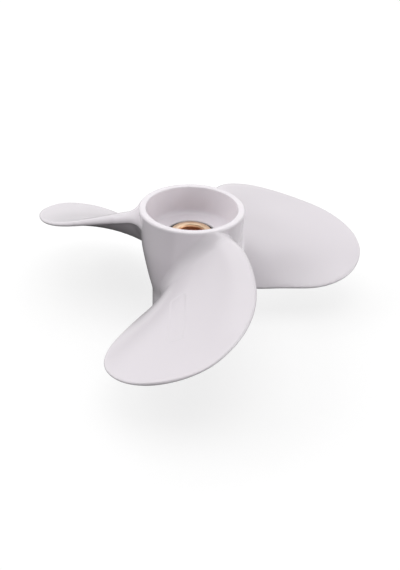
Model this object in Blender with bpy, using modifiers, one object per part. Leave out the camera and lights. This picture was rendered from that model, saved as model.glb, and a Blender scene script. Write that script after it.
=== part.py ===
"""Three-blade outboard boat propeller, 9 1/4 in across, right-hand, with about 9 in of pitch.

The shaft axis is Z and the front of the hub, with its cup, faces up. The origin is on the axis,
at the height of the whole part's centre of mass. The hub and the blades are one casting. A rubber
bush is pressed into its bore, and a splined brass sleeve sits inside the bush.
"""
from functools import partial
from math import atan2, cos, exp, log, pi, radians, sin

import bmesh
import bpy
import numpy as np
from mathutils import Matrix, Vector

MM = 0.001
GAP = 0.3                      # left between two pieces that touch, in mm as all sizes below

# Heights are measured from the hub's front rim, which lies this far above the origin.
FRONT_RIM_Z = 35.4
HUB_LENGTH = 76.0
HUB_STEPS = 72

# Outside of the hub, as (depth below the rim, radius): a slight taper, then a straight tail.
RIM_RADIUS = 31.8
HUB_TAPER = ((24.0, 30.1), (34.0, 28.4), (45.0, 26.2))
TAIL_START = 56.0
TAIL_RADIUS = 23.5
RIM_ROUND = 1.0
TAIL_ROUND = 1.5

# The cup in the front of the hub, and the bore that runs on through it.
CUP_MOUTH_RADIUS = 27.5
CUP_FLOOR_RADIUS = 25.4
CUP_DEPTH = 17.0
CUP_FILLET = 3.0
CUP_LIP_ROUND = 0.6
BORE_RADIUS = 15.1
BORE_CHAMFER = 0.5

# Rubber bush and brass sleeve.
BUSH_TOP = 17.6
BUSH_BOTTOM = 72.0
FLANGE_RADIUS = 12.5
FLANGE_TOP = 16.2
FLANGE_THICKNESS = 2.6
SLEEVE_RADIUS = 10.6
SLEEVE_BOTTOM = 75.0
MOUTH_RADIUS = 8.5             # at both ends of the sleeve, where its bore is chamfered
ENTRY_RADIUS = 7.6             # the smooth bore in front of the splines
ENTRY_LENGTH = 4.9
SPLINE_TEETH = 8
SPLINE_TIP_RADIUS = 6.7
SPLINE_ROOT_RADIUS = 7.5

# Blades. Angles are measured from the blade's reference line, towards the leading edge.
BLADE_COUNT = 3
FIRST_BLADE_ANGLE = -90.0
TIP_RADIUS = 117.475
TIP_ANGLE = -4.7
LEADING_EDGE = ((24.0, 44.2), (32.0, 44.2), (40.0, 43.7), (48.0, 42.1), (56.0, 39.4), (64.0, 36.5),
                (74.0, 32.8), (84.0, 28.1), (95.0, 21.6), (104.0, 15.2), (111.0, 9.3), (115.5, 3.0))
TRAILING_EDGE = ((20.0, -32.2), (32.0, -32.1), (44.0, -31.7), (54.0, -30.6), (66.0, -29.5),
                 (78.0, -28.3), (90.0, -25.8), (100.0, -22.4), (108.0, -18.1), (113.0, -14.1),
                 (116.0, -10.3))

# Mid-surface: a helix whose lead falls slightly with radius, raked aft towards the tips.
REFERENCE_RADIUS = 59.5
REFERENCE_DEPTH = 32.8
LEAD_PER_RADIAN = 37.3
LEAD_CHANGE = -0.13            # mm per radian, for each mm of radius
RAKE = (0.170, -0.00144, -0.0000057)
ROOT_TWIST = 1.95              # mm per radian of extra lead at the root radius, none past the end
TWIST_ROOT, TWIST_END = 36.0, 76.0
TWIST_PIVOT = 70.0             # the extra lead lowers all that lies behind this angle

# Thickness of the blade: round edges, and a crown that is mostly on the forward face.
EDGE_HALF_THICKNESS = 0.8
LEADING_ROOT_EXTRA = 2.2
TRAILING_ROOT_EXTRA = 0.6
CROWN_AT_ROOT = 5.4
CROWN_AT_TIP = 0.5
FORWARD_SHARE = 0.68
ROOT_FILLET = 6.0
LEADING_FILLET = 8.0
FILLET_SINK = 0.2              # the fillet ends this far inside the hub, so that it runs out softly
ROOT_OVERLAP = 5.0             # how far the blade itself is let into the hub
LEADING_FLARE = 0.45           # share of the root fillet that also widens the blade at its edges
TRAILING_FLARE = 0.4

# Near the hub the leading edge levels off below the rim instead of running on past it.
MIDDLE_CEILING, MIDDLE_SOFTNESS = -4.8, 4.5
ROOT_CEILING, ROOT_SOFTNESS = -0.5, 0.4

# Mesh of a blade: rows from the hub outwards, and columns from each edge to mid chord.
FILLET_ANGLES = (90.0, 74.0, 58.0, 43.0, 28.0, 14.0)
PLAIN_START_RADIUS = 43.0
PLAIN_ROWS = 18
EDGE_COLUMNS = (0.0, 0.035, 0.075, 0.13, 0.20, 0.28, 0.36, 0.43, 0.5)


class SmoothCurve:
    """Natural cubic spline through (x, y) points."""

    def __init__(self, points):
        self.x = np.array([p[0] for p in points], float)
        self.y = np.array([p[1] for p in points], float)
        step = np.diff(self.x)
        slope = np.diff(self.y) / step
        size = len(self.x)
        matrix = np.eye(size)
        right = np.zeros(size)
        for i in range(1, size - 1):
            matrix[i, i - 1:i + 2] = step[i - 1], 2 * (step[i - 1] + step[i]), step[i]
            right[i] = 6 * (slope[i] - slope[i - 1])
        self.bend = np.linalg.solve(matrix, right)
        self.step = step

    def at(self, x):
        i = int(np.clip(np.searchsorted(self.x, x) - 1, 0, len(self.step) - 1))
        a = (self.x[i + 1] - x) / self.step[i]
        b = 1 - a
        curved = (a ** 3 - a) * self.bend[i] + (b ** 3 - b) * self.bend[i + 1]
        return a * self.y[i] + b * self.y[i + 1] + curved * self.step[i] ** 2 / 6


def soft_ceiling(height, ceiling, softness):
    """The height, bent so that it nears the ceiling and never crosses it."""
    return ceiling - softness * log(1 + exp((ceiling - height) / softness))


def hub_radius(height):
    """Outer radius of the hub at a height, which is negative below the rim."""
    depths = [0.0] + [depth for depth, _ in HUB_TAPER] + [TAIL_START, HUB_LENGTH]
    radii = [RIM_RADIUS] + [radius for _, radius in HUB_TAPER] + [TAIL_RADIUS, TAIL_RADIUS]
    return float(np.interp(-height, depths, radii))


def tip_fraction(radius):
    """0 on the axis and 1 at the tip, growing ever faster so that the outline closes round."""
    return 1 - (max(TIP_RADIUS - radius, 0.0) / TIP_RADIUS) ** 0.5


def edge_curve(stations):
    """Edge angle against tip fraction, ending at the tip."""
    points = [(tip_fraction(radius), angle) for radius, angle in stations]
    return SmoothCurve(points + [(1.0, TIP_ANGLE)])


class BladeShape:
    """Places points on one blade, in mm, about the axis and with Z up from the rim."""

    def __init__(self):
        self.leading = edge_curve(LEADING_EDGE)
        self.trailing = edge_curve(TRAILING_EDGE)
        radii = np.array([TIP_RADIUS * (1 - (1 - w) ** 2) for w in np.linspace(0.10, 1.0, 120)])
        leading = [(r, radians(self.leading.at(tip_fraction(r)))) for r in radii]
        trailing = [(r, radians(self.trailing.at(tip_fraction(r)))) for r in radii]
        self.outline = np.array(leading + trailing[::-1])

    def lead(self, radius):
        return LEAD_PER_RADIAN + LEAD_CHANGE * (radius - REFERENCE_RADIUS)

    def middle_height(self, radius, angle):
        out = radius - REFERENCE_RADIUS
        rake = sum(k * out ** (n + 1) for n, k in enumerate(RAKE))
        inward = max(TWIST_END - radius, 0.0) / (TWIST_END - TWIST_ROOT)
        twist = ROOT_TWIST * inward ** 2 * (radians(TWIST_PIVOT) - angle)
        height = -REFERENCE_DEPTH + self.lead(radius) * angle - rake - twist
        return soft_ceiling(height, MIDDLE_CEILING, MIDDLE_SOFTNESS)

    def edge_distance(self, radius, angle, pitch_angle):
        """Distance to the outline over the blade's surface."""
        ends = np.column_stack([self.outline[:, 0] - radius,
                                (self.outline[:, 1] - angle) * radius / cos(pitch_angle)])
        start, run = ends[:-1], np.diff(ends, axis=0)
        length = np.maximum((run ** 2).sum(axis=1), 1e-12)
        along = np.clip(-(start * run).sum(axis=1) / length, 0, 1)
        return float(np.linalg.norm(start + along[:, None] * run, axis=1).min())

    def section_point(self, radius, share, fillet, side):
        """Point at a share of the chord from the trailing edge; side is 1 forward, -1 aft."""
        w = tip_fraction(radius)
        pitch_angle = atan2(self.lead(radius), radius)
        flare = fillet * cos(pitch_angle) / radius
        trailing = radians(self.trailing.at(w)) - TRAILING_FLARE * flare
        leading = radians(self.leading.at(w)) + LEADING_FLARE * flare
        angle = trailing + share * (leading - trailing)
        inward = (TIP_RADIUS - radius) / (TIP_RADIUS - RIM_RADIUS)
        root_extra = TRAILING_ROOT_EXTRA + share * (LEADING_ROOT_EXTRA - TRAILING_ROOT_EXTRA)
        edge = EDGE_HALF_THICKNESS + root_extra * inward ** 2 + fillet
        crown = (CROWN_AT_TIP + (CROWN_AT_ROOT - CROWN_AT_TIP) * inward) * 4 * share * (1 - share)
        if fillet:
            distance = min(share, 1 - share) * (leading - trailing) * radius / cos(pitch_angle)
        else:
            distance = self.edge_distance(radius, angle, pitch_angle)
        depth = min(distance / edge, 1.0)
        rounding = (1 - (1 - depth) ** 2) ** 0.5
        crown_share = FORWARD_SHARE if side > 0 else 1 - FORWARD_SHARE
        offset = side * rounding * (edge + crown_share * crown)
        turned = angle - offset * sin(pitch_angle) / radius
        height = self.middle_height(radius, angle) + offset * cos(pitch_angle)
        height = soft_ceiling(height, ROOT_CEILING, ROOT_SOFTNESS)
        return Vector((radius * cos(turned), radius * sin(turned), height))

    def fillet_point(self, turn, share, side, let_in=0.0):
        """Point on the root fillet, 90 degrees round it at the hub, or let in under the hub's skin."""
        fillet = ROOT_FILLET + (LEADING_FILLET - ROOT_FILLET) * share ** 2
        grown = fillet * (1 - cos(radians(turn)))
        distance = fillet * (1 - sin(radians(turn))) - FILLET_SINK - let_in
        point = self.section_point(RIM_RADIUS + distance, share, grown, side)
        for _ in range(5):
            point = self.section_point(hub_radius(point.z) + distance, share, grown, side)
        return point

    def rows(self):
        """Rows of the loft as functions of (share, side), from inside the hub to near the tip."""
        yield partial(self.fillet_point, 90.0, let_in=ROOT_OVERLAP)
        for turn in FILLET_ANGLES:
            yield partial(self.fillet_point, turn)
        reach = TIP_RADIUS - PLAIN_START_RADIUS
        for row in range(PLAIN_ROWS):
            radius = TIP_RADIUS - reach * (1 - row / PLAIN_ROWS) ** 2
            yield partial(self.section_point, radius, fillet=0.0)


def chord_shares():
    half = [(1 - cos(pi * u)) / 2 for u in EDGE_COLUMNS]
    return half + [1 - s for s in reversed(half[:-1])]


def new_object(name, bm, collection):
    bmesh.ops.recalc_face_normals(bm, faces=bm.faces[:])
    mesh = bpy.data.meshes.new(name)
    bm.to_mesh(mesh)
    bm.free()
    mesh.shade_smooth()
    mesh.set_sharp_from_angle(angle=radians(40))
    obj = bpy.data.objects.new(name, mesh)
    collection.objects.link(obj)
    return obj


def blade_mesh(shape):
    """Loft between sections, closed by a flat root inside the hub and a point at the tip."""
    bm = bmesh.new()
    shares = chord_shares()
    last = len(shares) - 1
    loops = []
    for row in shape.rows():
        forward = [row(share=share, side=1) for share in shares]
        aft = [row(share=share, side=-1) for share in shares[last - 1:0:-1]]
        loops.append([bm.verts.new(p * MM) for p in forward + aft])
    count = len(loops[0])
    for lower, upper in zip(loops, loops[1:]):
        for i in range(count):
            j = (i + 1) % count
            bm.faces.new((lower[i], lower[j], upper[j], upper[i]))
    bm.faces.new(loops[0])
    tip_angle = radians(TIP_ANGLE)
    tip = Vector((TIP_RADIUS * cos(tip_angle), TIP_RADIUS * sin(tip_angle),
                  shape.middle_height(TIP_RADIUS, tip_angle)))
    tip_vertex = bm.verts.new(tip * MM)
    for i in range(count):
        bm.faces.new((loops[-1][i], loops[-1][(i + 1) % count], tip_vertex))
    bmesh.ops.triangulate(bm, faces=[f for f in bm.faces if len(f.verts) > 4])
    return bm


def arc(centre, radius, start, stop, steps):
    """Points on a profile's round corner; angles in degrees from +X towards +Z."""
    for i in range(steps + 1):
        angle = radians(start + (stop - start) * i / steps)
        yield centre[0] + radius * cos(angle), centre[1] + radius * sin(angle)


def turned(name, profile, collection, closed=False, steps=HUB_STEPS):
    """Screw a profile of (radius, height) points, which runs down its outer side."""
    bm = bmesh.new()
    verts = [bm.verts.new((r * MM, 0.0, z * MM)) for r, z in profile]
    for a, b in zip(verts, verts[1:]):
        bm.edges.new((a, b))
    if closed:
        bm.edges.new((verts[-1], verts[0]))
    mesh = bpy.data.meshes.new(name)
    bm.to_mesh(mesh)
    bm.free()
    obj = bpy.data.objects.new(name, mesh)
    collection.objects.link(obj)
    screw = obj.modifiers.new("turn", "SCREW")
    screw.axis = "Z"
    screw.steps = steps
    screw.render_steps = steps
    screw.use_merge_vertices = True
    screw.merge_threshold = 0.00001
    screw.use_smooth_shade = True
    return obj


def boolean(obj, operation, cutter):
    step = obj.modifiers.new(operation.lower(), "BOOLEAN")
    step.operation = operation
    step.solver = "EXACT"
    step.object = cutter


def as_tool(obj):
    obj.hide_render = True
    obj.display_type = "WIRE"


def finish_material(name, colour, roughness, metallic):
    material = bpy.data.materials.new(name)
    material.use_nodes = True
    shader = material.node_tree.nodes["Principled BSDF"]
    shader.inputs["Base Color"].default_value = (*colour, 1.0)
    shader.inputs["Roughness"].default_value = roughness
    shader.inputs["Metallic"].default_value = metallic
    return material


def hub_profile():
    yield 0.0, 0.0
    yield from arc((RIM_RADIUS - RIM_ROUND, -RIM_ROUND), RIM_ROUND, 90, 0, 3)
    for depth, radius in HUB_TAPER:
        yield radius, -depth
    yield TAIL_RADIUS, -TAIL_START
    yield from arc((TAIL_RADIUS - TAIL_ROUND, TAIL_ROUND - HUB_LENGTH), TAIL_ROUND, 0, -90, 3)
    yield 0.0, -HUB_LENGTH


def core_profile():
    """The space that the casting's cup and bore leave, run past both ends."""
    lip = CUP_MOUTH_RADIUS + CUP_LIP_ROUND
    yield 0.0, 5.0
    yield lip, 5.0
    yield from arc((lip, -CUP_LIP_ROUND), -CUP_LIP_ROUND, -90, 0, 2)
    yield from arc((CUP_FLOOR_RADIUS - CUP_FILLET, CUP_FILLET - CUP_DEPTH), CUP_FILLET, 0, -90, 4)
    yield BORE_RADIUS + BORE_CHAMFER, -CUP_DEPTH
    yield BORE_RADIUS, -CUP_DEPTH - BORE_CHAMFER
    yield BORE_RADIUS, BORE_CHAMFER - HUB_LENGTH
    yield BORE_RADIUS + 2 * BORE_CHAMFER, -HUB_LENGTH - BORE_CHAMFER
    yield 0.0, -HUB_LENGTH - BORE_CHAMFER


def make_casting(parts, tools):
    casting = turned("propeller_casting", list(hub_profile()), parts)
    shape = BladeShape()
    for index in range(BLADE_COUNT):
        blade = new_object(f"blade_{index + 1}", blade_mesh(shape), tools)
        turn = radians(FIRST_BLADE_ANGLE + 360 * index / BLADE_COUNT)
        blade.data.transform(Matrix.Rotation(turn, 4, "Z"))
        as_tool(blade)
        boolean(casting, "UNION", blade)
    core = turned("cup_and_bore", list(core_profile()), tools)
    as_tool(core)
    boolean(casting, "DIFFERENCE", core)
    casting.data.materials.append(finish_material("white_paint", (0.80, 0.77, 0.80), 0.25, 0.0))
    return casting


def make_bush(parts):
    outer = BORE_RADIUS - GAP
    inner = SLEEVE_RADIUS + GAP
    seat = FLANGE_RADIUS + GAP
    seat_depth = FLANGE_TOP + FLANGE_THICKNESS + GAP
    profile = [(seat, -BUSH_TOP), (outer, -BUSH_TOP), (outer, -BUSH_BOTTOM), (inner, -BUSH_BOTTOM),
               (inner, -seat_depth), (seat, -seat_depth)]
    bush = turned("rubber_bush", profile, parts, closed=True, steps=HUB_STEPS)
    bush.data.materials.append(finish_material("black_rubber", (0.05, 0.05, 0.055), 0.6, 0.0))
    return bush


def spline_cutter(tools):
    """Prism for the grooves, from a circle whose points sit at a groove or inside the teeth."""
    points_per_tooth = 6
    inside = SPLINE_TIP_RADIUS - 1.0
    top = -FLANGE_TOP - ENTRY_LENGTH / 2
    bm = bmesh.new()
    count = SPLINE_TEETH * points_per_tooth
    made = bmesh.ops.create_circle(bm, cap_ends=True, segments=count, radius=inside * MM)
    ring = sorted(made["verts"], key=lambda v: np.arctan2(v.co.y, v.co.x))
    for i, vert in enumerate(ring):
        if i % points_per_tooth < points_per_tooth // 2:
            vert.co *= SPLINE_ROOT_RADIUS / inside
    grown = bmesh.ops.extrude_face_region(bm, geom=bm.faces[:])
    raised = [item for item in grown["geom"] if isinstance(item, bmesh.types.BMVert)]
    bmesh.ops.translate(bm, verts=raised, vec=(0.0, 0.0, (HUB_LENGTH + top) * MM))
    bmesh.ops.translate(bm, verts=bm.verts[:], vec=(0.0, 0.0, -HUB_LENGTH * MM))
    return new_object("spline_grooves", bm, tools)


def make_sleeve(parts, tools):
    under = FLANGE_TOP + FLANGE_THICKNESS
    entry_end = FLANGE_TOP + ENTRY_LENGTH
    edge = 0.4
    profile = [(MOUTH_RADIUS, -FLANGE_TOP), (FLANGE_RADIUS - edge, -FLANGE_TOP),
               (FLANGE_RADIUS, -FLANGE_TOP - edge), (FLANGE_RADIUS, -under), (SLEEVE_RADIUS, -under),
               (SLEEVE_RADIUS, edge - SLEEVE_BOTTOM), (SLEEVE_RADIUS - edge, -SLEEVE_BOTTOM),
               (MOUTH_RADIUS, -SLEEVE_BOTTOM),
               (SPLINE_TIP_RADIUS, MOUTH_RADIUS - SPLINE_TIP_RADIUS - SLEEVE_BOTTOM),
               (SPLINE_TIP_RADIUS, SPLINE_TIP_RADIUS - ENTRY_RADIUS - entry_end),
               (ENTRY_RADIUS, -entry_end), (ENTRY_RADIUS, ENTRY_RADIUS - MOUTH_RADIUS - FLANGE_TOP)]
    sleeve = turned("brass_sleeve", profile, parts, closed=True, steps=HUB_STEPS)
    grooves = spline_cutter(tools)
    as_tool(grooves)
    boolean(sleeve, "DIFFERENCE", grooves)
    sleeve.data.materials.append(finish_material("brass", (0.80, 0.56, 0.33), 0.3, 1.0))
    return sleeve


def main():
    for obj in list(bpy.data.objects):
        bpy.data.objects.remove(obj, do_unlink=True)
    parts = bpy.data.collections.new("outboard_propeller")
    tools = bpy.data.collections.new("modelling_tools")
    for collection in (parts, tools):
        bpy.context.scene.collection.children.link(collection)
    make_casting(parts, tools)
    make_bush(parts)
    make_sleeve(parts, tools)
    for obj in list(parts.objects) + list(tools.objects):
        obj.location.z = FRONT_RIM_Z * MM


main()
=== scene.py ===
"""Looks of a three-blade outboard propeller: gloss white casting, rubber bush, splined brass sleeve.

Sizes in the piece classes are millimetres, and heights are measured from the hub's front rim.
"""
from __future__ import annotations

import logging
from contextlib import contextmanager
from dataclasses import dataclass, field
from enum import Enum
from math import atan2, cos, degrees, hypot, pi, radians, sin
from typing import Any, Callable, Iterator, Mapping, Sequence

import bmesh
import bpy
import numpy as np
from mathutils import Matrix, Vector

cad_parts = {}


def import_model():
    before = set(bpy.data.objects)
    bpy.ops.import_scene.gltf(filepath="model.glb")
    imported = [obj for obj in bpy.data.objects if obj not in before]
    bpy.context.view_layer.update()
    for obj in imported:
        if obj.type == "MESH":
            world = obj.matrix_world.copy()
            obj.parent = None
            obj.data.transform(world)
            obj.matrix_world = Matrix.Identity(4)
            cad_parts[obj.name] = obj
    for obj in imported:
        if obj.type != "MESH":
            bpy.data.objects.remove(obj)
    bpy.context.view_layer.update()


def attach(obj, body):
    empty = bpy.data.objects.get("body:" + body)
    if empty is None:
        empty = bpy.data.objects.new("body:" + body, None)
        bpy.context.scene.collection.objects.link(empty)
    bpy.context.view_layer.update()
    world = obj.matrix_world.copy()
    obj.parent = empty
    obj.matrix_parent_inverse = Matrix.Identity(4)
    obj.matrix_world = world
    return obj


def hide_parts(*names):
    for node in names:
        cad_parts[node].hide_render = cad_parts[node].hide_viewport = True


LOG = logging.getLogger("propeller")
MM = 0.001
RIM_Z = 35.4
FLOOR_Z = -40.6

Profile = Sequence[tuple[float, float]]
Test = Callable[[Vector], bool]


class Side(Enum):
    """Face of a blade."""

    FORWARD = 1
    AFT = -1


# shaping by hand


def only(obj: bpy.types.Object) -> None:
    """Makes one object the whole selection.

    Args:
        obj: The object to select and make active.
    """
    for other in bpy.context.selected_objects:
        other.select_set(False)
    obj.select_set(True)
    bpy.context.view_layer.objects.active = obj


def clear_selection() -> None:
    """Deselects every object, so that a new primitive stands alone."""
    for other in bpy.context.selected_objects:
        other.select_set(False)


class Workpiece:
    """A mesh that is shaped in edit mode, with its parts picked by place."""

    def __init__(self, name: str) -> None:
        """Takes over the primitive that was just added, with its place moved into its mesh.

        Args:
            name: Name of the object and of its mesh.
        """
        self.obj: bpy.types.Object = bpy.context.active_object
        self.obj.name = name
        self.obj.data.name = name
        only(self.obj)
        bpy.ops.object.transform_apply(location=True, rotation=True, scale=True)

    @contextmanager
    def edit(self) -> Iterator[None]:
        """Edit mode with nothing selected.

        Yields:
            Nothing; the block runs in edit mode.
        """
        only(self.obj)
        bpy.ops.object.mode_set(mode="EDIT")
        bpy.ops.mesh.select_all(action="DESELECT")
        yield
        bpy.ops.object.mode_set(mode="OBJECT")

    def pick(self, test: Test) -> None:
        """Selects the vertices that pass a test.

        Args:
            test: Says yes or no to a vertex's place, in metres.
        """
        bpy.ops.mesh.select_mode(type="VERT")
        bpy.ops.mesh.select_all(action="DESELECT")
        mesh = bmesh.from_edit_mesh(self.obj.data)
        for vert in mesh.verts:
            if test(vert.co):
                vert.select_set(True)
        mesh.select_flush_mode()
        bmesh.update_edit_mesh(self.obj.data)

    def finish_with(self, name: str, kind: str, **settings: Any) -> None:
        """Adds a modifier and applies it.

        Args:
            name: Name of the modifier.
            kind: Blender's type of modifier.
            **settings: Its properties.
        """
        only(self.obj)
        modifier = self.obj.modifiers.new(name, kind)
        for key, value in settings.items():
            setattr(modifier, key, value)
        bpy.ops.object.modifier_apply(modifier=modifier.name)

    def merge(self, other: "Workpiece") -> None:
        """Welds another closed shape into this one and removes it.

        Args:
            other: The shape to take in.
        """
        self.finish_with("weld", "BOOLEAN", operation="UNION", solver="EXACT", object=other.obj)
        bpy.data.objects.remove(other.obj, do_unlink=True)

    def turn(self, angle: float) -> None:
        """Turns the shape about the shaft axis.

        Args:
            angle: Turn in degrees.
        """
        only(self.obj)
        self.obj.rotation_euler.z = radians(angle)
        bpy.ops.object.transform_apply(location=False, rotation=True, scale=False)

    def place_points(self, points: np.ndarray) -> None:
        """Moves every vertex to a new place.

        Args:
            points: One row of three metres for each vertex.
        """
        self.obj.data.vertices.foreach_set("co", points.astype(np.float32).ravel())
        self.obj.data.update()

    def points(self) -> np.ndarray:
        """The places of the vertices, one row each, in metres."""
        flat = np.empty(len(self.obj.data.vertices) * 3, np.float32)
        self.obj.data.vertices.foreach_get("co", flat)
        return flat.reshape(-1, 3).astype(float)

    def face_outwards(self) -> None:
        """Merges doubled points and turns every face outwards."""
        with self.edit():
            bpy.ops.mesh.select_all(action="SELECT")
            bpy.ops.mesh.remove_doubles(threshold=1e-6)
            bpy.ops.mesh.normals_make_consistent(inside=False)

    def shade(self, angle: float) -> None:
        """Shades smoothly, with edges sharper than an angle kept crisp.

        Args:
            angle: The angle in degrees.
        """
        only(self.obj)
        bpy.ops.object.shade_smooth_by_angle(angle=radians(angle))


def arc(centre: tuple[float, float], radius: float, start: float, stop: float,
        steps: int) -> list[tuple[float, float]]:
    """Points on a round corner of a profile.

    Args:
        centre: Middle of the arc, as (radius, height).
        radius: Radius of the arc.
        start: First angle in degrees, from outwards towards up.
        stop: Last angle in degrees.
        steps: Number of straight steps.

    Returns:
        The points, both ends included.
    """
    turns = [radians(start + (stop - start) * i / steps) for i in range(steps + 1)]
    return [(centre[0] + radius * cos(t), centre[1] + radius * sin(t)) for t in turns]


def drawn_ring(name: str, profile: Profile, segments: int) -> Workpiece:
    """Round solid with a hole: a circle drawn out from ring to ring, back to where it began.

    Args:
        name: Name of the piece.
        profile: Points (radius, height) in turn, whose last one joins the first.
        segments: Number of steps round.

    Returns:
        The closed shape.
    """
    clear_selection()
    radius, height = profile[0]
    bpy.ops.mesh.primitive_circle_add(vertices=segments, radius=radius * MM, fill_type="NOTHING",
                                      location=(0.0, 0.0, (RIM_Z + height) * MM))
    piece = Workpiece(name)
    with piece.edit():
        bpy.ops.mesh.select_mode(type="EDGE")
        bpy.ops.mesh.select_all(action="SELECT")
        for next_radius, next_height in [*profile[1:], profile[0]]:
            rise = (0.0, 0.0, (next_height - height) * MM)
            bpy.ops.mesh.extrude_edges_move(TRANSFORM_OT_translate={"value": rise})
            grow = next_radius / radius
            bpy.ops.transform.resize(value=(grow, grow, 1.0),
                                     center_override=(0.0, 0.0, (RIM_Z + next_height) * MM))
            radius, height = next_radius, next_height
    piece.face_outwards()
    return piece


# shader building


class Signal:
    """Output of a node. Arithmetic on it adds Math nodes."""

    def __init__(self, graph: "Graph", socket: bpy.types.NodeSocket) -> None:
        """Wraps an output socket.

        Args:
            graph: The material's nodes.
            socket: The output.
        """
        self.graph = graph
        self.socket = socket

    def _math(self, operation: str, first: Any, second: Any = 0.0) -> "Signal":
        """Result of one Math node."""
        return self.graph.add("ShaderNodeMath", {"operation": operation}, {0: first, 1: second})

    def __add__(self, other: Any) -> "Signal":
        """Sum."""
        return self._math("ADD", self, other)

    __radd__ = __add__

    def __mul__(self, other: Any) -> "Signal":
        """Product."""
        return self._math("MULTIPLY", self, other)

    __rmul__ = __mul__

    def __sub__(self, other: Any) -> "Signal":
        """Difference."""
        return self._math("SUBTRACT", self, other)

    def __rsub__(self, other: Any) -> "Signal":
        """Difference with the terms the other way round."""
        return self._math("SUBTRACT", other, self)

    def __pow__(self, other: Any) -> "Signal":
        """Power."""
        return self._math("POWER", self, other)

    def below(self, limit: float, soft: float) -> "Signal":
        """1 well below a limit and 0 above it.

        Args:
            limit: The middle of the change.
            soft: Half the width of the change.

        Returns:
            The mask.
        """
        return self.graph.add(
            "ShaderNodeMapRange", {"interpolation_type": "SMOOTHSTEP", "clamp": True},
            {"Value": self, "From Min": limit - soft, "From Max": limit + soft,
             "To Min": 1.0, "To Max": 0.0})


class Graph:
    """Node tree of one material."""

    def __init__(self, name: str) -> None:
        """Starts a material with a Principled shader.

        Args:
            name: Name of the material.
        """
        self.material = bpy.data.materials.new(name)
        self.material.use_nodes = True
        self.tree = self.material.node_tree
        self.shader = self.tree.nodes["Principled BSDF"]

    def add(self, kind: str, settings: Mapping[str, Any], sockets: Mapping[Any, Any],
            output: Any = 0) -> Signal:
        """Adds a node.

        Args:
            kind: Blender's name of the node's type.
            settings: Properties, set before the sockets.
            sockets: Values or signals of the inputs, by name or number.
            output: Name or number of the output that is wanted.

        Returns:
            That output.
        """
        node = self.tree.nodes.new(kind)
        for key, value in settings.items():
            setattr(node, key, value)
        for key, value in sockets.items():
            self.feed(node.inputs[key], value)
        return Signal(self, node.outputs[output])

    def feed(self, socket: bpy.types.NodeSocket, value: Any) -> None:
        """Links a signal to an input, or sets its value."""
        if isinstance(value, Signal):
            self.tree.links.new(value.socket, socket)
        else:
            socket.default_value = value

    def place(self) -> Signal:
        """Place on the piece in metres."""
        return self.add("ShaderNodeTexCoord", {}, {}, "Object")

    def noise(self, where: Signal, size: float, detail: float) -> Signal:
        """Soft random pattern.

        Args:
            where: Place on the piece.
            size: Width of its blobs in millimetres.
            detail: Number of finer layers.

        Returns:
            Values about 0.5.
        """
        sockets = {"Vector": where, "Scale": 1.0 / (size * MM), "Detail": detail}
        return self.add("ShaderNodeTexNoise", {"noise_dimensions": "3D"}, sockets, "Fac")

    def cells(self, where: Signal, size: float) -> Signal:
        """Distance to the nearest of scattered points.

        Args:
            where: Place on the piece.
            size: Spacing of the points in millimetres.

        Returns:
            The distance, as a share of the spacing.
        """
        return self.add("ShaderNodeTexVoronoi", {"feature": "F1"},
                        {"Vector": where, "Scale": 1.0 / (size * MM)}, "Distance")

    def blend(self, factor: Signal, first: Any, second: Any) -> Signal:
        """Mix of two colours.

        Args:
            factor: 0 gives the first and 1 the second.
            first: Colour or signal.
            second: Colour or signal.

        Returns:
            The colour.
        """
        sockets = {0: factor, 6: first, 7: second}
        return self.add("ShaderNodeMix", {"data_type": "RGBA", "clamp_factor": True}, sockets, 2)

    def bump(self, height: Signal, strength: float) -> Signal:
        """Normal from a height.

        Args:
            height: Height in millimetres.
            strength: How strongly it shows.

        Returns:
            The normal.
        """
        return self.add("ShaderNodeBump", {}, {"Height": height, "Distance": MM,
                                               "Strength": strength})

    def axis_distance(self, where: Signal) -> Signal:
        """Distance from the shaft axis in millimetres."""
        parts = self.tree.nodes.new("ShaderNodeSeparateXYZ")
        self.feed(parts.inputs[0], where)
        x, y = Signal(self, parts.outputs["X"]), Signal(self, parts.outputs["Y"])
        return (x * x + y * y) ** 0.5 * (1.0 / MM)

    def dress(self, obj: bpy.types.Object, slot: str) -> None:
        """Gives the material to a piece."""
        obj.data.materials.clear()
        obj.data.materials.append(self.material)


Colour = tuple[float, float, float, float]


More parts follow.
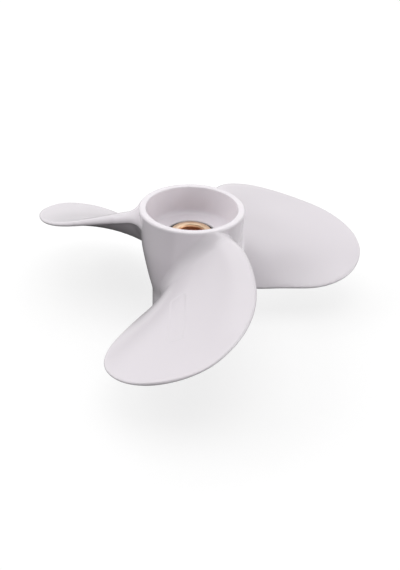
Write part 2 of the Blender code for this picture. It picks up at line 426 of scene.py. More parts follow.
@dataclass(frozen=True)
class GlossPaint:
    """Sprayed enamel on a casting: even, glossy, with a faint orange peel and a few nibs of dust."""

    light: Colour = (0.820, 0.778, 0.816, 1.0)
    shade: Colour = (0.795, 0.752, 0.792, 1.0)
    nib: Colour = (0.60, 0.57, 0.58, 1.0)
    roughness: float = 0.24
    roughness_drift: float = 0.10
    coat: float = 0.35
    coat_roughness: float = 0.18
    drift_size: float = 38.0
    peel_size: float = 1.1
    peel_height: float = 0.010
    swell_size: float = 9.0
    swell_height: float = 0.050
    nib_spacing: float = 6.0
    nib_height: float = 0.04

    def build(self) -> Graph:
        """Makes the material.

        Returns:
            Its node tree.
        """
        graph = Graph("gloss_white_paint")
        where = graph.place()
        drift = graph.noise(where, self.drift_size, 3.0)
        peel = graph.noise(where, self.peel_size, 1.0)
        swell = graph.noise(where, self.swell_size, 1.0)
        keep = graph.noise(where, 14.0, 1.0).below(0.42, 0.02)
        nibs = graph.cells(where, self.nib_spacing).below(0.035, 0.015) * keep
        tone = graph.blend(drift, self.light, self.shade)
        graph.feed(graph.shader.inputs["Base Color"], graph.blend(nibs * 0.5, tone, self.nib))
        rough = self.roughness + self.roughness_drift * (drift - 0.5) + 0.25 * nibs
        graph.feed(graph.shader.inputs["Roughness"], rough)
        height = peel * self.peel_height + swell * self.swell_height + nibs * self.nib_height
        graph.feed(graph.shader.inputs["Normal"], graph.bump(height, 0.6))
        graph.shader.inputs["Coat Weight"].default_value = self.coat
        graph.shader.inputs["Coat Roughness"].default_value = self.coat_roughness
        return graph


@dataclass(frozen=True)
class MouldedRubber:
    """Black rubber with a dull skin, fine grain and a grey bloom."""

    base: Colour = (0.018, 0.017, 0.018, 1.0)
    bloom: Colour = (0.075, 0.070, 0.068, 1.0)
    roughness: float = 0.62
    patch_size: float = 5.0
    grain_size: float = 0.35
    grain_height: float = 0.03

    def build(self) -> Graph:
        """Makes the material.

        Returns:
            Its node tree.
        """
        graph = Graph("moulded_black_rubber")
        where = graph.place()
        patches = graph.noise(where, self.patch_size, 4.0)
        grain = graph.noise(where, self.grain_size, 2.0)
        mask = 1 - patches.below(0.52, 0.14)
        graph.feed(graph.shader.inputs["Base Color"], graph.blend(mask, self.base, self.bloom))
        graph.feed(graph.shader.inputs["Roughness"], self.roughness + 0.22 * (patches - 0.5))
        graph.feed(graph.shader.inputs["Normal"], graph.bump(grain * self.grain_height, 0.7))
        return graph


@dataclass(frozen=True)
class TurnedBrass:
    """Brass turned on a lathe: fine rings on its faces, and a duller bore, coloured darker and more
    copper as painted shade inside the hole.
    """

    bright: Colour = (0.95, 0.73, 0.52, 1.0)
    dull: Colour = (0.86, 0.61, 0.40, 1.0)
    # Painted shade: the bore's darker, more copper colour stands in for the shade inside the hole.
    bore: Colour = (0.95, 0.56, 0.33, 1.0)
    bore_radius: float = 8.2
    ring_pitch: float = 0.16
    ring_height: float = 0.004
    tarnish_size: float = 3.0
    tarnish_height: float = 0.02

    def build(self) -> Graph:
        """Makes the material.

        Returns:
            Its node tree.
        """
        graph = Graph("turned_brass")
        where = graph.place()
        reach = graph.axis_distance(where)
        rings = graph.add("ShaderNodeMath", {"operation": "SINE"},
                          {0: reach * (2 * pi / self.ring_pitch)})
        tarnish = graph.noise(where, self.tarnish_size, 4.0)
        inside = reach.below(self.bore_radius, 0.15)
        face = graph.blend(1 - tarnish.below(0.5, 0.25), self.bright, self.dull)
        # Inside the bore radius the colour turns to the painted shade colour of the hole.
        graph.feed(graph.shader.inputs["Base Color"], graph.blend(inside, face, self.bore))
        graph.shader.inputs["Metallic"].default_value = 1.0
        rough = 0.30 + 0.16 * (tarnish - 0.5) + 0.14 * inside
        graph.feed(graph.shader.inputs["Roughness"], rough)
        height = rings * self.ring_height * (1 - inside) + tarnish * self.tarnish_height
        graph.feed(graph.shader.inputs["Normal"], graph.bump(height, 0.5))
        return graph


@dataclass(frozen=True)
class StudioPaper:
    """Matt white paper under the object."""

    colour: Colour = (0.300, 0.300, 0.300, 1.0)
    fibre: Colour = (0.292, 0.292, 0.292, 1.0)
    glow: float = 0.73

    def build(self) -> Graph:
        """Makes the material.

        Returns:
            Its node tree.
        """
        graph = Graph("studio_paper")
        fibres = graph.noise(graph.place(), 2.5, 3.0)
        graph.feed(graph.shader.inputs["Base Color"], graph.blend(fibres, self.colour, self.fibre))
        graph.shader.inputs["Roughness"].default_value = 0.9
        graph.shader.inputs["Specular IOR Level"].default_value = 0.1
        graph.shader.inputs["Emission Color"].default_value = (1.0, 1.0, 1.0, 1.0)
        graph.shader.inputs["Emission Strength"].default_value = self.glow
        return graph


# blade shape


class SmoothCurve:
    """Natural cubic spline through (x, y) points."""

    def __init__(self, points: Profile) -> None:
        """Works out the bend at each point.

        Args:
            points: The points, in order of x.
        """
        self.x = np.array([p[0] for p in points], float)
        self.y = np.array([p[1] for p in points], float)
        self.step = np.diff(self.x)
        slope = np.diff(self.y) / self.step
        size = len(self.x)
        matrix = np.eye(size)
        right = np.zeros(size)
        for i in range(1, size - 1):
            matrix[i, i - 1:i + 2] = (self.step[i - 1], 2 * (self.step[i - 1] + self.step[i]),
                                      self.step[i])
            right[i] = 6 * (slope[i] - slope[i - 1])
        self.bend = np.linalg.solve(matrix, right)

    def at(self, x: np.ndarray) -> np.ndarray:
        """Heights of the curve.

        Args:
            x: Where to read it.

        Returns:
            The values of y.
        """
        x = np.asarray(x, float)
        i = np.clip(np.searchsorted(self.x, x) - 1, 0, len(self.step) - 1)
        a = (self.x[i + 1] - x) / self.step[i]
        b = 1 - a
        curved = (a ** 3 - a) * self.bend[i] + (b ** 3 - b) * self.bend[i + 1]
        return a * self.y[i] + b * self.y[i + 1] + curved * self.step[i] ** 2 / 6


def soft_ceiling(height: np.ndarray, ceiling: float, softness: float) -> np.ndarray:
    """Heights, bent so that they near the ceiling and never cross it.

    Args:
        height: The heights before.
        ceiling: Height that isn't crossed.
        softness: Width of the bend.

    Returns:
        The heights after.
    """
    return ceiling - softness * np.logaddexp(0.0, (ceiling - height) / softness)


@dataclass
class BarePanel:
    """Shallow sunk panel on a blade's forward face, left bare."""

    middle_radius: float = 69.9
    half_length: float = 16.9
    middle_arc: float = -0.35
    half_width: float = 4.2
    corner: float = 2.2
    depth: float = 0.28
    slope: float = 0.6
    fine_rows: int = 4
    fine_columns: int = 5
    fine_shares: tuple[float, float] = (0.35, 0.60)

    def sunk(self, radius: np.ndarray, arc_place: np.ndarray) -> np.ndarray:
        """Depth under the blade's face.

        Args:
            radius: Distances from the axis.
            arc_place: Places along the arc, from the blade's reference line.

        Returns:
            The depths.
        """
        beyond_x = np.abs(arc_place - self.middle_arc) - self.half_width + self.corner
        beyond_y = np.abs(radius - self.middle_radius) - self.half_length + self.corner
        outside = (np.hypot(np.maximum(beyond_x, 0), np.maximum(beyond_y, 0))
                   + np.minimum(np.maximum(beyond_x, beyond_y), 0) - self.corner)
        down = np.clip(0.5 - outside / (2 * self.slope), 0, 1)
        return self.depth * down * down * (3 - 2 * down)

    def refine_rows(self, radii: np.ndarray) -> np.ndarray:
        """Adds radii where the panel lies.

        Args:
            radii: Radii of the blade's rows, in order.

        Returns:
            The radii with finer steps over the panel.
        """
        reach = self.half_length + 3 * self.slope
        return refined(radii, self.middle_radius - reach, self.middle_radius + reach, self.fine_rows)


def refined(values: np.ndarray, low: float, high: float, times: int) -> np.ndarray:
    """Divides the steps between values that lie in a range.

    Args:
        values: The values, in order.
        low: Start of the range.
        high: End of the range.
        times: Number of parts that each step is divided into.

    Returns:
        The values with those between them.
    """
    out = [float(values[0])]
    for start, stop in zip(values[:-1], values[1:]):
        parts = times if start < high and stop > low else 1
        out += [float(start + (stop - start) * k / parts) for k in range(1, parts + 1)]
    return np.array(out)


@dataclass
class HubOutline:
    """Outside of the hub: a slight taper from the rim, then a straight tail."""

    length: float = 76.0
    rim_radius: float = 31.8
    taper: Profile = ((24.0, 30.1), (34.0, 28.4), (45.0, 26.2), (56.0, 23.5))
    easing: float = 4.0
    step: float = 0.25

    def __post_init__(self) -> None:
        """Rounds off the corners of the taper."""
        margin = 2 * self.easing
        self._depths = np.arange(-margin, self.length + margin, self.step)
        knots = [0.0] + [depth for depth, _ in self.taper] + [self.length]
        radii = [self.rim_radius] + [radius for _, radius in self.taper] + [self.taper[-1][1]]
        plain = np.interp(self._depths, knots, radii)
        slope = (radii[1] - radii[0]) / (knots[1] - knots[0])
        plain[self._depths < 0] = self.rim_radius + slope * self._depths[self._depths < 0]
        window = np.hanning(int(2 * self.easing / self.step) + 1)
        smooth = np.convolve(plain, window / window.sum(), mode="same")
        edge = (self._depths < -self.easing / 2) | (self._depths > self.length)
        self._radii = np.where(edge, plain, smooth)

    def at(self, height: np.ndarray) -> np.ndarray:
        """Radius of the hub at heights, which are negative below the rim."""
        return np.interp(-np.asarray(height, float), self._depths, self._radii)


@dataclass
class BladeForm:
    """One blade: a raked helix between two edge curves, thick at the root and round at the edges."""

    tip_radius: float = 117.475
    tip_angle: float = -4.7
    leading_edge: Profile = (
        (24.0, 44.2), (32.0, 44.2), (40.0, 43.7), (48.0, 42.1), (56.0, 39.4), (64.0, 36.5),
        (74.0, 32.8), (84.0, 28.1), (95.0, 21.6), (104.0, 15.2), (111.0, 9.3), (115.5, 3.0))
    trailing_edge: Profile = (
        (20.0, -32.2), (32.0, -32.1), (44.0, -31.7), (54.0, -30.6), (66.0, -29.5),
        (78.0, -28.3), (90.0, -25.8), (100.0, -22.4), (108.0, -18.1), (113.0, -14.1),
        (116.0, -10.3))
    reference_radius: float = 59.5
    reference_depth: float = 32.8
    lead_per_radian: float = 37.3
    lead_change: float = -0.13
    rake: tuple[float, float, float] = (0.170, -0.00144, -0.0000057)
    root_twist: float = 1.95
    twist_root: float = 36.0
    twist_end: float = 76.0
    twist_pivot: float = 70.0
    edge_half_thickness: float = 0.8
    leading_root_extra: float = 2.2
    trailing_root_extra: float = 0.6
    crown_at_root: float = 5.4
    crown_at_tip: float = 0.5
    forward_share: float = 0.68
    trailing_fillet: float = 6.0
    leading_fillet: float = 8.0
    fillet_sink: float = 0.12
    root_overlap: float = 2.4
    leading_flare: float = 0.45
    trailing_flare: float = 0.4
    middle_ceiling: tuple[float, float] = (-4.8, 4.5)
    root_ceiling: tuple[float, float] = (-0.5, 0.4)
    plain_start: float = 43.0
    edge_columns: int = 7
    middle_columns: int = 40
    fillet_rows: int = 18
    joining_rows: int = 2
    plain_rows: int = 62
    cap_rings: int = 5
    hub: HubOutline = field(default_factory=HubOutline)
    panel: BarePanel | None = None

    def __post_init__(self) -> None:
        """Prepares the edge curves and the outline."""
        self._leading = self._edge_curve(self.leading_edge)
        self._trailing = self._edge_curve(self.trailing_edge)
        radii = self.tip_radius * (1 - (1 - np.linspace(0.10, 1.0, 240)) ** 2)
        w = self.tip_fraction(radii)
        leading = np.column_stack([radii, np.radians(self._leading.at(w))])
        trailing = np.column_stack([radii, np.radians(self._trailing.at(w))])
        self._outline = np.concatenate([leading, trailing[::-1]])

    def _edge_curve(self, stations: Profile) -> SmoothCurve:
        """Edge angle against tip fraction, ending at the tip."""
        points = [(float(self.tip_fraction(radius)), angle) for radius, angle in stations]
        return SmoothCurve(points + [(1.0, self.tip_angle)])

    def tip_fraction(self, radius: Any) -> np.ndarray:
        """0 on the axis and 1 at the tip, growing ever faster."""
        return 1 - (np.maximum(self.tip_radius - np.asarray(radius, float), 0) / self.tip_radius) ** 0.5

    def lead(self, radius: np.ndarray) -> np.ndarray:
        """Rise for each radian of turn."""
        return self.lead_per_radian + self.lead_change * (radius - self.reference_radius)

    def middle_height(self, radius: np.ndarray, angle: np.ndarray) -> np.ndarray:
        """Height of the mid-surface.

        Args:
            radius: Distance from the axis.
            angle: Turn from the blade's reference line, in radians.

        Returns:
            The height from the rim.
        """
        out = radius - self.reference_radius
        rake = sum(k * out ** (n + 1) for n, k in enumerate(self.rake))
        inward = np.maximum(self.twist_end - radius, 0) / (self.twist_end - self.twist_root)
        twist = self.root_twist * inward ** 2 * (radians(self.twist_pivot) - angle)
        return soft_ceiling(self.lead(radius) * angle - self.reference_depth - rake - twist,
                            *self.middle_ceiling)

    def _outline_distance(self, radius: np.ndarray, angle: np.ndarray,
                          pitch: np.ndarray) -> np.ndarray:
        """Distance to the outline over the blade's surface."""
        nearest = np.full(radius.shape, 1e9)
        stretch = radius / np.cos(pitch)
        for start, stop in zip(self._outline[:-1], self._outline[1:]):
            x, y = start[0] - radius, (start[1] - angle) * stretch
            dx, dy = stop[0] - start[0], (stop[1] - start[1]) * stretch
            length = np.maximum(dx * dx + dy * dy, 1e-12)
            along = np.clip(-(x * dx + y * dy) / length, 0, 1)
            nearest = np.minimum(nearest, np.hypot(x + along * dx, y + along * dy))
        return nearest

    def limits(self, radius: np.ndarray, fillet: Any) -> tuple[np.ndarray, np.ndarray]:
        """Angles of the trailing and the leading edge, in radians, flared by the root fillet."""
        w = self.tip_fraction(radius)
        flare = fillet * np.cos(np.arctan2(self.lead(radius), radius)) / radius
        return (np.radians(self._trailing.at(w)) - self.trailing_flare * flare,
                np.radians(self._leading.at(w)) + self.leading_flare * flare)

    def edge_radius(self, radius: np.ndarray, share: Any, fillet: Any) -> np.ndarray:
        """Half thickness at the rounded edges."""
        inward = (self.tip_radius - radius) / (self.tip_radius - self.hub.rim_radius)
        extra = self.trailing_root_extra + share * (self.leading_root_extra
                                                    - self.trailing_root_extra)
        return self.edge_half_thickness + extra * inward ** 2 + fillet

    def surface(self, radius: np.ndarray, share: np.ndarray, side: np.ndarray,
                fillet: Any = 0.0, near_hub: float = 0.0) -> np.ndarray:
        """Points on the blade.

        Args:
            radius: Distances from the axis.
            share: Shares of the chord from the trailing edge.
            side: 1 on the forward face and -1 on the aft face.
            fillet: How much the root fillet adds to the half thickness.
            near_hub: 1 where the edges' rounding follows the chord, 0 where it follows the outline.

        Returns:
            Rows of x, y and height.
        """
        pitch = np.arctan2(self.lead(radius), radius)
        trailing, leading = self.limits(radius, fillet)
        angle = trailing + share * (leading - trailing)
        edge = self.edge_radius(radius, share, fillet)
        inward = (self.tip_radius - radius) / (self.tip_radius - self.hub.rim_radius)
        crown = self.crown_at_tip + (self.crown_at_root - self.crown_at_tip) * inward
        across = np.minimum(share, 1 - share) * (leading - trailing) * radius / np.cos(pitch)
        distance = across * near_hub
        if near_hub < 1:
            distance = distance + (1 - near_hub) * self._outline_distance(radius, angle, pitch)
        depth = np.minimum(distance / edge, 1.0)
        rounding = (1 - (1 - depth) ** 2) ** 0.5
        crown_share = np.where(side > 0, self.forward_share, 1 - self.forward_share)
        offset = side * rounding * (edge + crown_share * crown * 4 * share * (1 - share))
        if self.panel:
            offset = offset - np.where(side > 0, self.panel.sunk(radius, angle * radius), 0.0)
        turned = angle - offset * np.sin(pitch) / radius
        height = soft_ceiling(self.middle_height(radius, angle) + offset * np.cos(pitch),
                              *self.root_ceiling)
        return np.column_stack([radius * np.cos(turned), radius * np.sin(turned), height])

    def _shares(self, radius: float, fillet: float) -> np.ndarray:
        """Shares of the chord in a section, close together round both edges."""
        reach = np.array([radius])
        trailing, leading = self.limits(reach, fillet)
        chord = float((leading - trailing)[0] * radius / cos(atan2(float(self.lead(reach)[0]), radius)))
        turns = 1 - np.cos(np.linspace(0, pi / 2, self.edge_columns))
        ends = [min(float(self.edge_radius(reach, s, fillet)[0]) / chord, 0.42) for s in (0.0, 1.0)]
        middle = np.linspace(ends[0], 1 - ends[1], self.middle_columns)
        if self.panel:
            first, last = (np.array(self.panel.fine_shares) * (self.middle_columns - 1)).astype(int)
            middle = refined(middle, middle[first], middle[last], self.panel.fine_columns)
        return np.concatenate([turns * ends[0], middle[1:-1], 1 - (turns * ends[1])[::-1]])

    def _around(self, radius: float, fillet: float) -> tuple[np.ndarray, np.ndarray]:
        """Shares and sides once round a section: forward from the trailing edge, aft on the way back."""
        shares = self._shares(radius, fillet)
        back = shares[-2:0:-1]
        side = np.concatenate([np.full(len(shares), Side.FORWARD.value, float),
                               np.full(len(back), Side.AFT.value, float)])
        return np.concatenate([shares, back]), side

    def _hub_row(self, turn: float, let_in: float = 0.0, outward: float = 0.0) -> np.ndarray:
        """Row on the root fillet, or part of the way on to the plain rows.

        Args:
            turn: Angle round the fillet in radians, a quarter turn at the hub.
            let_in: How far the row is moved in under the hub's skin.
            outward: 0 on the hub's side, 1 at the first plain row.

        Returns:
            The points of the row.
        """
        middle = (self.trailing_fillet + self.leading_fillet) / 2
        share, side = self._around(self.hub.rim_radius + middle * (1 - sin(turn)),
                                   middle * (1 - cos(turn)))
        fillet = self.trailing_fillet + (self.leading_fillet - self.trailing_fillet) * share ** 2
        distance = fillet * (1 - sin(turn)) - self.fillet_sink - let_in
        radius = self.hub.rim_radius + distance
        for _ in range(6):
            points = self.surface(radius, share, side, fillet * (1 - cos(turn)), 1 - outward)
            follow = self.hub.at(points[:, 2]) + distance
            radius = follow + outward * (self.plain_start - follow)
        return points

    def _cap_row(self, rim: np.ndarray, size: float) -> np.ndarray:
        """Ring of the cap that closes the root inside the hub's wall.

        Args:
            rim: The innermost row.
            size: Share of its size, down to 0 for a point.

        Returns:
            The points of the ring.
        """
        angle = np.arctan2(rim[:, 1], rim[:, 0])
        angle = angle.mean() + size * (angle - angle.mean())
        height = rim[:, 2].mean() + size * (rim[:, 2] - rim[:, 2].mean())
        radius = self.hub.at(height) - self.root_overlap
        return np.column_stack([radius * np.cos(angle), radius * np.sin(angle), height])

    def rows(self) -> list[np.ndarray]:
        """Rows of points from the middle of the root cap to the tip."""
        root = self._hub_row(pi / 2, let_in=self.root_overlap)
        sizes = [ring / self.cap_rings for ring in range(self.cap_rings)]
        rows = [self._cap_row(root, size) for size in sizes] + [root]
        rows += [self._hub_row(turn) for turn in np.linspace(pi / 2, 0, self.fillet_rows)]
        for step in range(self.joining_rows):
            rows.append(self._hub_row(0.0, outward=(step + 1) / (self.joining_rows + 1)))
        reach = self.tip_radius - self.plain_start
        radii = self.tip_radius - reach * (1 - np.arange(self.plain_rows) / self.plain_rows) ** 2
        for radius in self.panel.refine_rows(radii) if self.panel else radii:
            share, side = self._around(radius, 0.0)
            rows.append(self.surface(np.full(share.shape, radius), share, side))
        tip_angle = radians(self.tip_angle)
        tip_height = float(self.middle_height(np.array([self.tip_radius]), np.array([tip_angle]))[0])
        tip = (self.tip_radius * cos(tip_angle), self.tip_radius * sin(tip_angle), tip_height)
        rows.append(np.tile(tip, (len(root), 1)))
        return rows

    def build(self, name: str) -> Workpiece:
        """Shapes a ball into the blade: its poles become the root cap's middle and the tip.

        Args:
            name: Name of the piece.

        Returns:
            The blade, along +X.
        """
        rows = np.array(self.rows()) + (0.0, 0.0, RIM_Z)
        count, around = rows.shape[:2]
        clear_selection()
        bpy.ops.mesh.primitive_uv_sphere_add(segments=around, ring_count=count - 1, radius=1.0)
        blade = Workpiece(name)
        ball = blade.points()
        polar = np.arccos(np.clip(ball[:, 2], -1, 1))
        row = np.rint(polar / pi * (count - 1)).astype(int)
        column = np.rint(np.arctan2(ball[:, 1], ball[:, 0]) / (2 * pi) * around).astype(int) % around
        blade.place_points(rows[row, column] * MM)
        blade.face_outwards()
        return blade


# pieces


@dataclass
class PropellerCasting:
    """Hub and blades, cast in one, with the cup and the bore."""

    hub: HubOutline = field(default_factory=HubOutline)
    plain_blade: BladeForm = field(default_factory=BladeForm)
    marked_blade: BladeForm = field(default_factory=lambda: BladeForm(panel=BarePanel()))
    blade_count: int = 3
    first_blade_angle: float = -90.0
    segments: int = 216
    row_pitch: float = 1.0
    rim_round: float = 1.0
    tail_round: float = 1.5
    cup_mouth_radius: float = 27.5
    cup_floor_radius: float = 25.4
    cup_depth: float = 17.0
    cup_fillet: float = 3.0
    lip_round: float = 0.6
    bore_radius: float = 15.1
    bore_chamfer: float = 0.5
    weld_distance: float = 0.04
    sliver: float = 0.02
    seam_start: float = 1.6
    seam_stop: float = 4.0
    seam_window: tuple[float, float] = (-0.2, 0.7)
    seam_passes: int = 4
    crisp_angle: float = 34.0

    def profile(self) -> list[tuple[float, float]]:
        """Section of the hub: down the outside, up the bore and the cup, over the rim."""
        length = self.hub.length
        tail = float(self.hub.at(-length))
        top = float(self.hub.at(-self.rim_round))
        rows = np.arange(self.rim_round + self.row_pitch, length - self.tail_round, self.row_pitch)
        points = arc((top - self.rim_round, -self.rim_round), self.rim_round, 90, 0, 6)
        points += [(float(self.hub.at(-depth)), -float(depth)) for depth in rows]
        points += arc((tail - self.tail_round, self.tail_round - length), self.tail_round, 0, -90, 6)
        bore, edge = self.bore_radius, self.bore_chamfer
        points += [(bore + edge, -length), (bore, edge - length)]
        points += [(bore, -self.cup_depth - edge), (bore + edge, -self.cup_depth)]
        points += arc((self.cup_floor_radius - self.cup_fillet, self.cup_fillet - self.cup_depth),
                      self.cup_fillet, -90, 0, 10)
        lip = self.cup_mouth_radius + self.lip_round
        points += arc((lip, -self.lip_round), self.lip_round, 180, 90, 5)
        return points

    def _soften_roots(self, casting: Workpiece) -> None:
        """Evens out the seam where the blades' fillets run out on the hub."""
        def on_seam(point: Vector) -> bool:
            """Whether a point lies on the hub's outside or just above it."""
            x, y, z = point / MM
            depth = RIM_Z - z
            if not self.seam_start < depth < self.hub.length - self.seam_stop:
                return False
            above = hypot(x, y) - float(self.hub.at(-depth))
            return self.seam_window[0] < above < self.seam_window[1]

        with casting.edit():
            bpy.ops.mesh.select_all(action="SELECT")
            bpy.ops.mesh.remove_doubles(threshold=self.weld_distance * MM)
            bpy.ops.mesh.dissolve_degenerate(threshold=self.sliver * MM)
            casting.pick(on_seam)
            bpy.ops.mesh.vertices_smooth(factor=0.5, repeat=self.seam_passes)

    def build(self) -> bpy.types.Object:
        """Makes the casting in one piece.

        Returns:
            The finished object.
        """
        casting = drawn_ring("painted_casting", self.profile(), self.segments)
        for index in range(self.blade_count):
            form = self.plain_blade if index else self.marked_blade
            blade = form.build(f"blade_{index + 1}")
            blade.turn(self.first_blade_angle + 360 * index / self.blade_count)
            casting.merge(blade)
        self._soften_roots(casting)
        casting.shade(self.crisp_angle)
        GlossPaint().build().dress(casting.obj, "white_paint")
        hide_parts("propeller_casting")
        return casting.obj


@dataclass
class RubberBush:
    """Rubber bush between the casting's bore and the sleeve, with rounded lips."""

    outer: float = 14.8
    inner: float = 10.9
    seat: float = 12.8
    top: float = 17.6
    seat_depth: float = 19.1
    bottom: float = 72.0
    lip: float = 0.5
    groove: float = 1.7
    seat_round: float = 0.25
    segments: int = 144
    crisp_angle: float = 40.0

    def build(self) -> bpy.types.Object:
        """Makes the bush.

        Returns:
            The finished object.
        """
        lip = self.lip
        profile = arc((self.outer - lip, -self.top - lip), lip, 90, 0, 4)
        profile += arc((self.outer - lip, lip - self.bottom), lip, 0, -90, 4)
        profile += arc((self.outer - self.groove, -self.bottom), lip, 0, 180, 6)
        profile += arc((self.inner + lip, lip - self.bottom), lip, -90, -180, 4)
        profile += [(self.inner, -self.seat_depth), (self.seat, -self.seat_depth)]
        small = self.seat_round
        profile += arc((self.seat + small, -self.top - small), small, 180, 90, 3)
        bush = drawn_ring("moulded_bush", profile, self.segments)
        bush.shade(self.crisp_angle)
        MouldedRubber().build().dress(bush.obj, "black_rubber")
        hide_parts("rubber_bush")
        return bush.obj


@dataclass
class SplinedSleeve:
    """Brass sleeve with a flange in the cup and splines in its bore."""

    flange_radius: float = 12.5
    flange_top: float = 16.2
    flange_thickness: float = 2.6
    radius: float = 10.6
    bottom: float = 75.0
    mouth_radius: float = 8.5
    entry_radius: float = 7.6
    entry_length: float = 4.9
    teeth: int = 8
    tip_radius: float = 6.7
    root_radius: float = 7.5
    edge_round: float = 0.4
    mouth_round: float = 0.15
    under_round: float = 0.2
    lead_in: float = 1.2
    segments: int = 192
    crisp_angle: float = 30.0

    def _profile(self) -> list[tuple[float, float]]:
        """Section of the sleeve, with its bore still plain."""
        edge = self.edge_round
        under = self.flange_top + self.flange_thickness
        mouth, low = self.mouth_round, self.under_round
        points = arc((self.mouth_radius + mouth, -self.flange_top - mouth), mouth, 180, 90, 2)
        points += arc((self.flange_radius - edge, -self.flange_top - edge), edge, 90, 0, 5)
        points += arc((self.flange_radius - low, low - under), low, 0, -90, 2)
        points += [(self.radius, -under)]
        points += arc((self.radius - edge, edge - self.bottom), edge, 0, -90, 4)
        points += [(self.mouth_radius, -self.bottom)]
        start = self.flange_top + self.entry_length
        depths = [self.bottom - step for step in (1.0, 1.3, 1.6, 1.8)]
        depths += list(np.linspace(self.bottom - 3.0, start + 3.0, 12))
        depths += [start + step for step in (0.9, 0.6, 0.3, 0.1)]
        points += [(self.root_radius, -float(depth)) for depth in depths]
        points += [(self.entry_radius, -start), (self.entry_radius, -self.flange_top - self.lead_in)]
        slant = self.mouth_radius - self.entry_radius
        return points + [(self.entry_radius, -self.flange_top - slant)]

    def _draw_in_teeth(self, sleeve: Workpiece) -> None:
        """Draws every other stretch of the bore in to the teeth, with ends that slope."""
        step = 360.0 / self.teeth

        def on_tooth(point: Vector) -> bool:
            """Whether a point of the bore lies on a tooth."""
            x, y, _ = point / MM
            if abs(hypot(x, y) - self.root_radius) > 0.01:
                return False
            return degrees(atan2(y, x)) % step > 0.5 * step - 0.1

        with sleeve.edit():
            sleeve.pick(on_tooth)
            mesh = bmesh.from_edit_mesh(sleeve.obj.data)
            heights = sorted({round(v.co.z, 6) for v in mesh.verts if v.select})
            for height in heights:
                depth = RIM_Z - height / MM
                front = self.root_radius - (depth - self.flange_top - self.entry_length)
                aft = self.mouth_radius - (self.bottom - depth)
                tooth = max(self.tip_radius, front, aft)
                sleeve.pick(lambda point, level=height: (
                    abs(point.z - level) < 1e-6 and on_tooth(point)))
                shrink = tooth / self.root_radius
                bpy.ops.transform.resize(value=(shrink, shrink, 1.0),
                                         center_override=(0.0, 0.0, height))

    def build(self) -> bpy.types.Object:
        """Makes the sleeve.

        Returns:
            The finished object.
        """
        sleeve = drawn_ring("splined_sleeve", self._profile(), self.segments)
        self._draw_in_teeth(sleeve)
        sleeve.shade(self.crisp_angle)
        TurnedBrass().build().dress(sleeve.obj, "brass")
        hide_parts("brass_sleeve")
        return sleeve.obj


# studio


@dataclass(frozen=True)
class Softbox:
    """Square studio light that faces the object, with or without a reflection in gloss."""

    name: str
    place: tuple[float, float, float]
    size: float
    power: float
    mirrored: bool = True

    def build(self) -> None:
        """Hangs the light."""
        data = bpy.data.lights.new(self.name, "AREA")
        data.shape = "SQUARE"
        data.size = self.size
        data.energy = self.power
        obj = bpy.data.objects.new(self.name, data)
        bpy.context.scene.collection.objects.link(obj)
        obj.location = self.place
        obj.rotation_euler = (-Vector(self.place)).to_track_quat("-Z", "Y").to_euler()
        obj.visible_glossy = self.mirrored


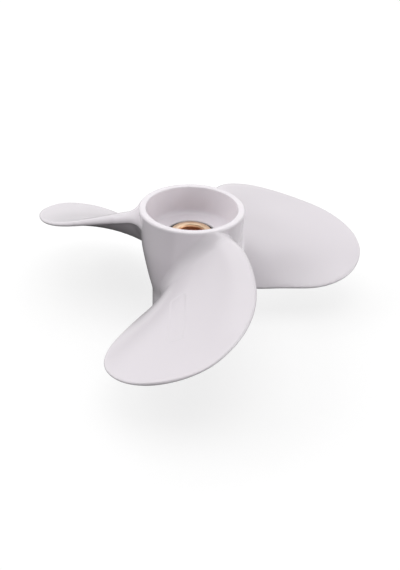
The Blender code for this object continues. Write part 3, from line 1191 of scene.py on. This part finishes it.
@dataclass
class Studio:
    """Pale floor, soft lights, and the camera where the photograph was taken."""

    lights: tuple[Softbox, ...] = (
        Softbox("overhead", (0.0, 0.0, 1.3), 1.2, 5.9),
        Softbox("behind", (0.0, 1.2, 1.0), 0.9, 3.0),
        Softbox("behind_left", (-0.85, 0.85, 1.0), 0.9, 4.6, False),
        Softbox("behind_right", (0.85, 0.85, 1.0), 0.9, 1.2),
        Softbox("left", (-1.2, 0.0, 0.9), 0.9, 7.0, False),
        Softbox("right", (1.2, 0.0, 0.9), 0.9, 2.9),
        Softbox("low_right", (1.4, -0.2, 0.25), 0.6, 3.6),
    )
    room: tuple[tuple[float, float], ...] = (
        (-1.0, 0.01), (-0.62, 0.02), (-0.36, 0.12), (-0.14, 0.58), (0.10, 0.74), (0.28, 0.60),
        (0.55, 0.24), (1.0, 0.22))
    pixel: float = 0.5951e-3
    focal_pixels: float = 767.9
    axis_pixel: tuple[float, float] = (192.18, 207.19)
    frame_pixels: tuple[float, float] = (400.0, 570.0)
    elevation: float = 33.23
    roll: float = 2.0
    swing: float = 4.1

    def lay_floor(self) -> None:
        """Lays the floor under the hub's aft end."""
        clear_selection()
        bpy.ops.mesh.primitive_plane_add(size=8.0, location=(0.0, 0.0, FLOOR_Z * MM))
        floor = Workpiece("studio_floor").obj
        floor.data.materials.append(StudioPaper().build().material)
        floor.visible_diffuse = False
        floor.visible_glossy = False

    def light_room(self) -> None:
        """Sets the room's own light, darkest from straight below, and hangs the softboxes."""
        world = bpy.data.worlds.new("studio")
        bpy.context.scene.world = world
        world.use_nodes = True
        tree = world.node_tree
        where = tree.nodes.new("ShaderNodeTexCoord")
        parts = tree.nodes.new("ShaderNodeSeparateXYZ")
        level = tree.nodes.new("ShaderNodeMapRange")
        level.inputs["From Min"].default_value = -1.0
        ramp = tree.nodes.new("ShaderNodeValToRGB")
        stops = ramp.color_ramp.elements
        while len(stops) < len(self.room):
            stops.new(0.5)
        for stop, (height, light) in zip(stops, self.room):
            stop.position = (height + 1) / 2
            stop.color = (light, light, light, 1.0)
        tree.links.new(where.outputs["Generated"], parts.inputs[0])
        tree.links.new(parts.outputs["Z"], level.inputs["Value"])
        tree.links.new(level.outputs[0], ramp.inputs[0])
        tree.links.new(ramp.outputs[0], tree.nodes["Background"].inputs["Color"])
        for light in self.lights:
            light.build()

    def set_camera(self) -> None:
        """Puts the camera where the rim and the blades fall as in the photograph."""
        tilt = radians(self.elevation)
        across = Vector((1.0, 0.0, 0.0))
        up = Vector((0.0, sin(tilt), cos(tilt)))
        ahead = Vector((0.0, cos(tilt), -sin(tilt)))
        right = (self.axis_pixel[0] - self.frame_pixels[0] / 2) * self.pixel
        rise = (self.frame_pixels[1] / 2 - self.axis_pixel[1]) * self.pixel
        place = -(right * across + rise * up + self.focal_pixels * self.pixel * ahead)
        turn = Matrix((across, up, -ahead)).transposed().to_4x4()
        roll = Matrix.Rotation(radians(self.roll), 4, "Y")
        data = bpy.data.cameras.new("photo_camera")
        data.sensor_width = 36.0
        data.lens = self.focal_pixels * data.sensor_width / self.frame_pixels[1]
        data.clip_start = 0.01
        camera = bpy.data.objects.new("photo_camera", data)
        bpy.context.scene.collection.objects.link(camera)
        camera.matrix_world = (Matrix.Translation((0.0, 0.0, RIM_Z * MM))
                               @ Matrix.Rotation(radians(self.swing), 4, "Z") @ roll.inverted()
                               @ Matrix.Translation(place) @ turn)
        bpy.context.scene.camera = camera

    def build(self) -> None:
        """Sets up the whole studio."""
        self.lay_floor()
        self.light_room()
        self.set_camera()
        bpy.context.scene.view_settings.view_transform = "Standard"


def main() -> None:
    """Builds the pieces in order, then the studio."""
    logging.basicConfig(level=logging.INFO, format="%(name)s: %(message)s")
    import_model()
    for maker in (PropellerCasting(), RubberBush(), SplinedSleeve()):
        piece = maker.build()
        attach(piece, "root")
        LOG.info("%s: %d faces", piece.name, len(piece.data.polygons))
    Studio().build()


if __name__ == "__main__":
    main()
